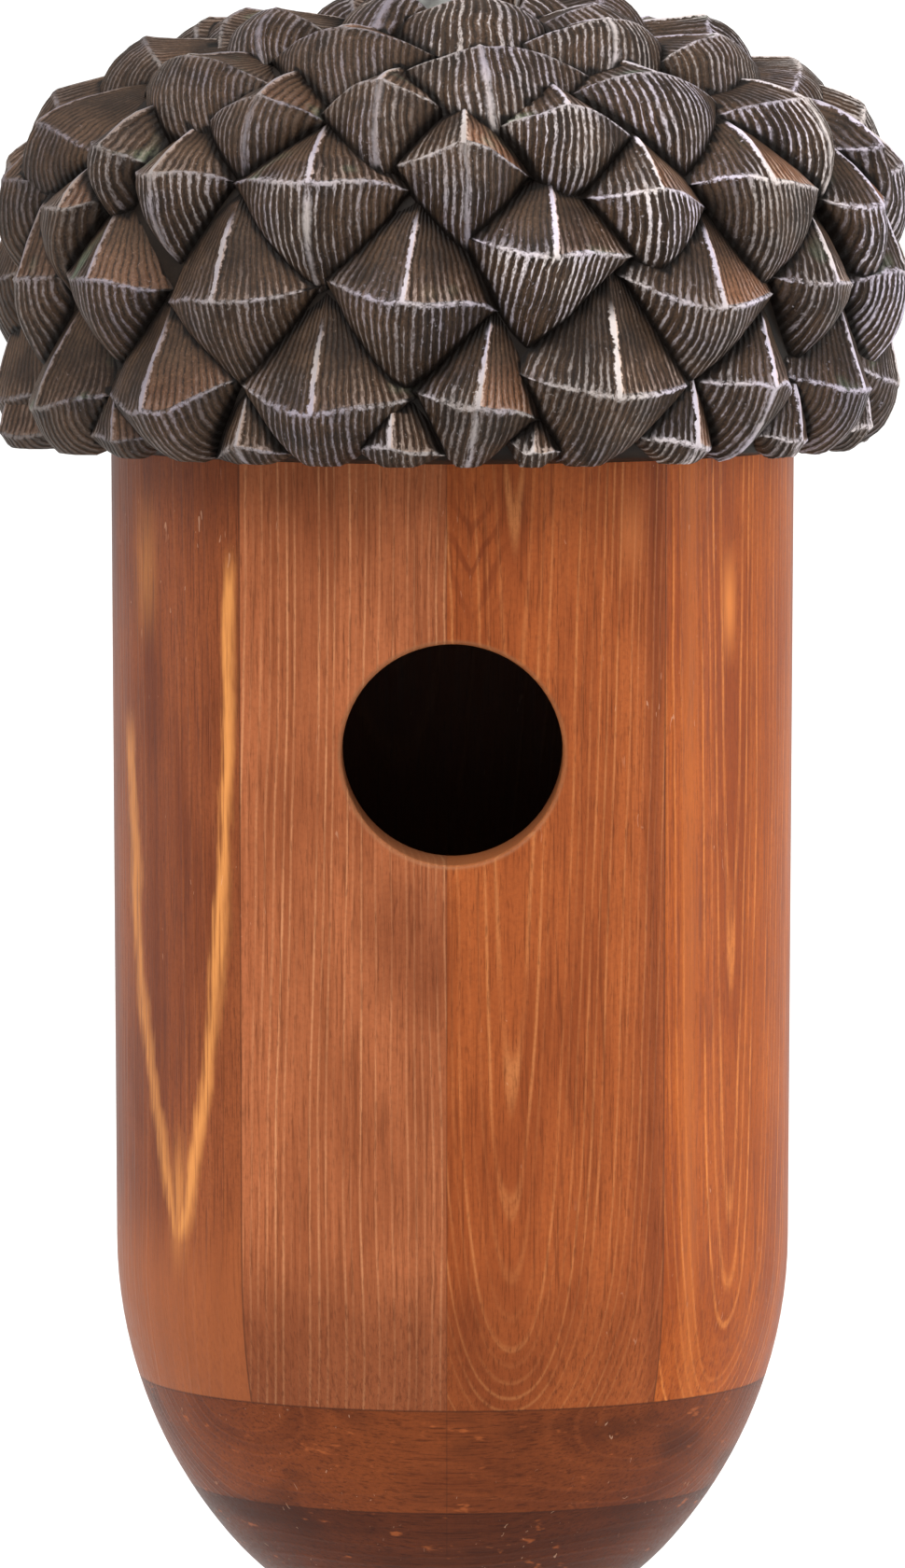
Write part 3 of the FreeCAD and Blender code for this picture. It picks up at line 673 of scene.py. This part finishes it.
# ---------------------------------------------------------------- wood
def wood_material(name, pith, taper, spacing, dark, light, line, along="z", strength=0.55, curl=(0, 0, 1),
                  extra=None):
    """Oiled wood that is solid all through: growth rings round a pith, drawn out along the board.

    pith is the pith's place across the board and spacing the width of a ring, in mm.  taper tilts the rings
    to make arches on a flat-sawn face, and curl (mm, level, length) closes them off at one end of it.
    """
    s = Shader(name)
    x, y, z = s.place()
    a, b, c = {"z": (x, y, z), "x": (y, z, x)}[along]
    drift = s.noise(s.vector(s.mul(a, 0.03), s.mul(b, 0.03), s.mul(c, 0.009)), 1.0, 2.0, 0.5)
    from_a = s.sub(a, pith[0])
    from_b = s.sub(b, pith[1])
    radius = s.math("SQRT", s.add(s.mul(from_a, from_a), s.mul(from_b, from_b)))
    close = s.math("EXPONENT", s.math("DIVIDE", s.sub(curl[1], c), curl[2]))
    ring = s.total(radius, s.mul(c, -taper), s.mul(drift, 5.0), s.mul(close, curl[0]))
    phase = s.math("DIVIDE", ring, spacing)

    number = s.math("FLOOR", phase)
    own = s.node("TexWhiteNoise", {"Vector": s.vector(number, taper * 100, spacing)}).outputs["Value"]
    off_line = s.math("ABSOLUTE", s.sub(s.math("FRACT", phase), s.add(s.mul(own, 0.3), 0.35)))
    lines = s.mul(s.step(off_line, 0.24, 0.02), s.step(own, 0.1, 0.9, 0.15, 1.0))
    bands = s.noise(s.vector(s.mul(phase, 0.33), s.mul(c, 0.002), 3.0), 1.0, 2.0, 0.6)
    fibre = s.noise(s.vector(s.mul(a, 1.9), s.mul(b, 1.9), s.mul(c, 0.06)), 1.0, 4.0, 0.65)
    fleck = s.noise(s.vector(s.mul(a, 3.2), s.mul(b, 3.2), s.mul(c, 0.30)), 1.0, 2.0, 0.6)
    stain = s.noise(s.vector(s.mul(a, 0.05), s.mul(b, 0.05), s.mul(c, 0.02)), 1.0, 3.0, 0.6)
    mottle = s.noise(s.vector(x, y, z), 1.3, 3.0, 0.7)

    tone = s.total(s.mul(stain, 0.5), s.mul(bands, 0.35), s.mul(fibre, 0.15))
    colour = s.mix(s.step(tone, 0.36, 0.64), srgb(*dark), srgb(*light))
    along_line = s.noise(s.vector(s.mul(phase, 2.0), s.mul(c, 0.035), 5.0), 1.0, 3.0, 0.6)
    pale_line = s.mul(lines, s.step(along_line, 0.34, 0.62, 0.15, 1.0))
    colour = s.mix(s.mul(pale_line, strength), colour, srgb(*line))
    colour = s.mix(s.step(fibre, 0.49, 0.32, 0.0, 0.6), colour, s.scaled(srgb(*dark), 0.62))
    colour = s.mix(s.step(fleck, 0.54, 0.72, 0.0, 0.55), colour, s.scaled(srgb(*dark), 0.55))
    colour = s.mix(s.step(mottle, 0.40, 0.7, 0.0, 0.25), colour, s.scaled(srgb(*dark), 0.7))
    if extra:
        colour = extra(s, colour, (x, y, z), fibre)
    colour = wear_joints_and_inside_shade(s, colour, (x, y, z), fleck)
    s.bump(s.total(s.mul(lines, 0.5), s.mul(fibre, 0.5), s.mul(fleck, 0.4)), 0.10 * MM, 0.55)
    roughness = s.step(fibre, 0.3, 0.7, 0.36, 0.50)
    return s.finish(colour, roughness, specular_ior_level=0.07)


def wear_joints_and_inside_shade(s, colour, place, fleck):
    """Dark glue lines at the joints, bare wood round the entrance, pale scratches, and painted shade on the
    walls and floor inside the cavity.
    """
    x, y, z = place
    side = s.math("ABSOLUTE", x)
    depth = s.math("ABSOLUTE", y)
    glue = s.total(s.mul(s.sub(depth, CAVITY_HALF_D / MM), math.tan(JOINT_BEVEL)), CAVITY_HALF_W / MM)
    seams = s.mul(s.near(side, glue, 0.32), s.step(z, FLOOR_Z / MM - 0.1, FLOOR_Z / MM + 0.1))
    for level in (FLOOR_Z, BASE_JOINT_Z):
        seams = s.math("MAXIMUM", seams, s.near(z, level / MM, 0.30))
    front = s.mul(s.step(y, -39.0, -41.0), s.near(x, STRIP_JOINT_X / MM, 0.22))
    seams = s.math("MAXIMUM", seams, s.mul(front, 0.6))
    colour = s.mix(s.mul(seams, 0.6), colour, srgb(48, 24, 14))

    up = s.sub(z, ENTRANCE_Z / MM)
    off_hole = s.math("SQRT", s.add(s.mul(x, x), s.mul(up, up)))
    bare = s.mul(s.step(off_hole, ENTRANCE_R / MM + 1.1, ENTRANCE_R / MM + 0.35), s.step(y, 0.0, -1.0))
    colour = s.mix(s.mul(bare, 0.4), colour, s.mix(fleck, srgb(92, 56, 34), srgb(150, 106, 72)))

    scratch = s.noise(s.vector(s.mul(x, 0.9), s.mul(y, 0.9), s.mul(z, 0.22)), 1.0, 2.0, 0.4, 1.5)
    scratch = s.mul(s.step(scratch, 0.735, 0.77), s.step(s.noise(s.vector(x, y, z), 0.03), 0.45, 0.6))
    colour = s.mix(s.mul(scratch, 0.35), colour, srgb(196, 156, 128))
    # painted shade: the walls, floor and bar inside the cavity are darkened so the entrance looks dark
    inside_shade = s.mul(s.step(side, CAVITY_HALF_W / MM + 0.3, CAVITY_HALF_W / MM + 0.1),
                  s.step(depth, CAVITY_HALF_D / MM + 0.3, CAVITY_HALF_D / MM + 0.1))
    inside_shade = s.mul(inside_shade, s.step(z, FLOOR_Z / MM - 0.3, FLOOR_Z / MM - 0.1))
    return s.mix(s.mul(inside_shade, 0.7), colour, srgb(44, 28, 18))


def sapwood_v(s, colour, place, fibre):
    """Pale sapwood on the left board: a V that closes low down, and a streak near the top."""
    x, y, z = place
    wave = s.noise(s.vector(s.mul(x, 0.2), s.mul(y, 0.2), s.mul(z, 0.05)), 1.0, 3.0, 0.6)
    above = s.sub(z, -238.0)
    half = s.mul(s.math("TANH", s.math("DIVIDE", above, 54.0)), 9.4)
    off = s.sub(x, s.add(-47.6, s.mul(s.sub(wave, 0.5), 3.0)))
    feather = s.mul(s.sub(fibre, 0.5), 1.6)
    right_arm = s.near(s.add(off, feather), half, 1.7)
    left_arm = s.mul(s.near(s.add(off, feather), s.mul(half, -1.0), 1.3), s.step(z, -142.0, -152.0))
    closing = s.mul(s.step(above, 0.0, 6.0), s.step(z, -112.0, -122.0))
    arms = s.mul(s.math("MAXIMUM", right_arm, s.mul(left_arm, 0.75)), closing)
    tip = s.mul(s.near(s.add(off, feather), 0.0, 2.6), s.near(z, -228.0, 16.0))
    front = s.step(y, 0.0, -6.0)
    sap = s.mul(s.math("MAXIMUM", arms, s.mul(tip, 0.6)), front)
    streak = s.mul(s.near(s.add(x, feather), -53.3, 2.9), s.near(z, -118.0, 17.0))
    sap = s.math("MAXIMUM", sap, s.mul(s.mul(streak, 0.4), front))
    colour = s.mix(s.step(z, -222.0, -246.0, 0.0, 0.4), colour, srgb(150, 84, 46))
    return s.mix(s.mul(sap, s.step(fibre, 0.3, 0.6, 0.35, 0.9)), colour, srgb(188, 124, 66))


def right_streaks(s, colour, place, fibre):
    """A pale streak and a darker stripe along the joint on the right board."""
    x, y, z = place
    feather = s.mul(s.sub(fibre, 0.5), 1.2)
    streak = s.mul(s.near(s.add(x, feather), 48.0, 1.9), s.near(z, -124.0, 13.0))
    streak = s.mul(streak, s.step(y, 0.0, -6.0))
    colour = s.mix(s.mul(streak, 0.75), colour, srgb(196, 116, 54))
    edge = s.near(s.add(x, feather), 41.0, 2.2)
    return s.mix(s.mul(edge, 0.22), colour, srgb(186, 108, 52))


def front_marks(s, colour, place, fibre):
    """A stain beside and below the entrance, and a darker lower end, on both front strips."""
    x, y, z = place
    blur = s.mul(s.sub(s.noise(s.vector(x, y, z), 0.08, 3.0, 0.6), 0.5), 14.0)
    off_x, off_z = s.math("DIVIDE", s.add(x, 7.0), 9.5), s.math("DIVIDE", s.add(z, 181.0), 15.0)
    away = s.math("SQRT", s.add(s.mul(off_x, off_x), s.mul(off_z, off_z)))
    stain = s.step(s.add(away, s.mul(blur, 0.07)), 1.3, 0.2, 0.0, 0.42)
    colour = s.mix(stain, colour, srgb(74, 30, 12))
    low_end = s.step(s.add(z, blur), -232.0, -252.0, 0.0, 0.42)
    return s.mix(s.mul(low_end, s.step(x, 24.0, -8.0, 0.45, 1.0)), colour, srgb(76, 34, 15))


def right_strip_marks(s, colour, place, fibre):
    """A pale patch high on the right front strip, a dark stripe by its outer joint and small dark arches."""
    x, y, z = place
    feather = s.mul(s.sub(fibre, 0.5), 1.2)
    patch = s.mul(s.near(s.add(x, feather), 31.0, 3.4), s.near(z, -111.0, 11.0))
    colour = s.mix(s.mul(patch, 0.35), colour, srgb(176, 106, 60))
    stripe = s.near(s.add(x, feather), 34.9, 2.2)
    colour = s.mix(s.mul(stripe, 0.40), colour, srgb(84, 34, 12))
    wave = s.mul(s.noise(s.vector(x, y, s.mul(z, 0.5)), 0.22, 3.0, 0.6), 2.2)
    arch = s.add(s.math("DIVIDE", s.sub(z, s.mul(s.math("ABSOLUTE", s.sub(x, 3.2)), 1.9)), 3.4), wave)
    arches = s.step(s.math("SINE", s.mul(arch, math.pi)), 0.2, 0.95)
    here = s.mul(s.step(s.math("ABSOLUTE", s.sub(x, 4.0)), 7.0, 2.0), s.near(z, -114.0, 17.0))
    colour = s.mix(s.mul(s.mul(arches, here), 0.55), colour, srgb(86, 34, 14))
    return front_marks(s, colour, place, fibre)


def base_blotches(s, colour, place, fibre):
    """Darker knots and orange specks on the base boards."""
    x, y, z = place
    knots = s.noise(s.vector(s.mul(x, 0.045), s.mul(y, 0.045), s.mul(z, 0.1)), 1.0, 2.0, 0.5)
    colour = s.mix(s.step(knots, 0.52, 0.70, 0.0, 0.5), colour, srgb(46, 20, 10))
    specks = s.noise(s.vector(s.mul(x, 0.16), s.mul(y, 0.16), s.mul(z, 0.4)), 1.0, 3.0, 0.6)
    return s.mix(s.step(specks, 0.62, 0.72, 0.0, 0.6), colour, srgb(148, 78, 38))


# ---------------------------------------------------------------- hardware
def metal_material(name, colour, roughness):
    """Zinc-plated steel with faint rolling marks and a dull bloom."""
    s = Shader(name)
    x, y, z = s.place()
    bloom = s.noise(s.vector(x, y, z), 0.35, 4.0, 0.6)
    marks = s.noise(s.vector(s.mul(x, 0.8), s.mul(y, 0.8), s.mul(z, 6.0)), 1.0, 3.0, 0.6)
    tint = s.mix(s.step(bloom, 0.3, 0.7), srgb(*colour), s.scaled(srgb(*colour), 0.72))
    s.bump(s.add(s.mul(marks, 0.6), s.mul(bloom, 0.4)), 0.03 * MM, 0.5)
    return s.finish(tint, s.step(marks, 0.3, 0.7, roughness, roughness + 0.14), metallic=1.0)


def rubber_material():
    s = Shader("seal_rubber")
    x, y, z = s.place()
    grain = s.noise(s.vector(x, y, z), 3.0, 3.0, 0.7)
    s.bump(grain, 0.05 * MM, 0.6)
    return s.finish(s.mix(grain, srgb(24, 24, 25), srgb(46, 45, 44)), s.step(grain, 0.3, 0.7, 0.6, 0.8))


def finish_nodes():
    """Gives every carried-over node its material."""
    materials = {
        "front_strip_left": wood_material("front_left_wood", (-170.0, -60.0), 0.004, 1.35,
                                          (115, 60, 33), (142, 80, 48), (182, 127, 88), strength=0.6,
                                          extra=front_marks),
        "front_strip_right": wood_material("front_right_wood", (11.0, -62.5), 0.022, 1.5,
                                           (112, 52, 22), (142, 73, 34), (172, 110, 64),
                                           curl=(9.0, -266.0, 24.0), extra=right_strip_marks),
        "side_board_left": wood_material("left_wood", (-40.0, -150.0), 0.02, 2.1,
                                         (88, 40, 18), (118, 61, 31), (138, 80, 46), strength=0.3,
                                         curl=(-9.0, -268.0, 16.0), extra=sapwood_v),
        "side_board_right": wood_material("right_wood", (50.5, -36.5), 0.012, 1.7,
                                          (122, 54, 16), (152, 76, 27), (194, 116, 56), strength=0.75,
                                          curl=(8.0, -264.0, 17.0), extra=right_streaks),
        "back_board": wood_material("back_wood", (-12.0, 66.0), 0.08, 1.6,
                                    (113, 56, 26), (136, 72, 36), (166, 109, 66)),
        "base_board_upper": wood_material("base_upper_wood", (-40.0, -262.0), 0.03, 2.2,
                                          (79, 35, 15), (109, 53, 23), (122, 62, 29), along="x",
                                          strength=0.35, extra=base_blotches),
        "base_board_lower": wood_material("base_lower_wood", (-30.0, -330.0), 0.03, 2.4,
                                          (58, 25, 11), (82, 38, 18), (94, 47, 24), along="x",
                                          strength=0.3, extra=base_blotches),
        "hanger_bar": wood_material("bar_wood", (0.0, -60.0), 0.03, 2.0,
                                    (140, 97, 58), (162, 120, 77), (180, 142, 100), along="x"),
        "bar_screws": metal_material("screw_zinc", (196, 178, 128), 0.32),
        "tee_nut": metal_material("nut_zinc", (186, 186, 182), 0.34),
        "crown_washer": metal_material("washer_zinc", (190, 190, 186), 0.36),
        "eye_bolt": metal_material("eye_zinc", (176, 176, 172), 0.38),
        "sealing_washer": rubber_material(),
    }
    for name, material in materials.items():
        data = frame["nodes"][name].data
        data.materials.clear()
        data.materials.append(material)


# ---------------------------------------------------------------- camera, floor and light
def place_camera():
    data = bpy.data.cameras.new("camera")
    data.lens = CAMERA_LENS
    data.sensor_width = 36.0
    data.clip_end = 100.0
    camera = bpy.data.objects.new("camera", data)
    camera.location = (0.0, -CAMERA_DISTANCE, RIM_Z + CAMERA_ABOVE_RIM)
    camera.rotation_euler = (math.pi / 2 - CAMERA_PITCH, 0.0, 0.0)
    bpy.context.collection.objects.link(camera)
    bpy.context.scene.camera = camera


def softbox(name, azimuth, elevation, distance, size, power):
    """An area light aimed at the middle of the object; azimuth 0 is in front, 90 to the right."""
    data = bpy.data.lights.new(name, "AREA")
    data.shape = "RECTANGLE"
    data.size, data.size_y = size
    data.energy = power
    light = bpy.data.objects.new(name, data)
    a, e = math.radians(azimuth), math.radians(elevation)
    away = Vector((math.sin(a) * math.cos(e), -math.cos(a) * math.cos(e), math.sin(e)))
    light.location = Vector((0, 0, (CROWN_Z + TIP_Z) / 2)) + away * distance
    light.rotation_euler = (-away).to_track_quat("-Z", "Y").to_euler()
    bpy.context.collection.objects.link(light)


def stage_and_light():
    mesh = bpy.data.meshes.new("floor")
    level, half = TIP_Z - FLOOR_DROP, FLOOR_HALF
    corners = [(-half, -half, level), (half, -half, level), (half, half, level), (-half, half, level)]
    mesh.from_pydata(corners, [], [(0, 1, 2, 3)])
    floor = bpy.data.objects.new("floor", mesh)
    s = Shader("floor_paint")
    x, y, z = s.place()
    cloud = s.noise(s.vector(x, y, z), 0.01)
    mesh.materials.append(s.finish(s.mix(cloud, srgb(206, 206, 205), srgb(210, 210, 209)), 0.85))
    bpy.context.collection.objects.link(floor)

    world = bpy.data.worlds.new("studio")
    world.use_nodes = True
    nodes, links = world.node_tree.nodes, world.node_tree.links
    background = nodes["Background"]
    background.inputs["Color"].default_value = (1.0, 1.0, 1.0, 1.0)
    seen = nodes.new("ShaderNodeLightPath")
    strength = nodes.new("ShaderNodeMapRange")
    strength.inputs["To Min"].default_value = 0.5
    strength.inputs["To Max"].default_value = 1.1
    links.new(seen.outputs["Is Camera Ray"], strength.inputs["Value"])
    links.new(strength.outputs[0], background.inputs["Strength"])
    bpy.context.scene.world = world
    sun = bpy.data.lights.new("overhead", "SUN")
    sun.energy = 5.2
    sun.angle = math.radians(70)
    overhead = bpy.data.objects.new("overhead", sun)
    overhead.rotation_euler = (math.radians(28), 0.0, math.radians(-28))
    bpy.context.collection.objects.link(overhead)
    softbox("key", -30, 35, 2.4, (1.2, 1.2), 14)
    softbox("fill", 40, 10, 2.6, (1.2, 1.6), 9)
    softbox("rim_right", 92, 8, 1.8, (0.5, 1.8), 25)
    softbox("rim_left", -105, 8, 1.8, (0.5, 1.8), 5)


cap = build_cap()
cap.data.materials.append(cap_material())
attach(cap, "cap")
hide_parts("cap_shell")
finish_nodes()
stage_and_light()
place_camera()
bpy.context.scene.view_settings.view_transform = "Standard"
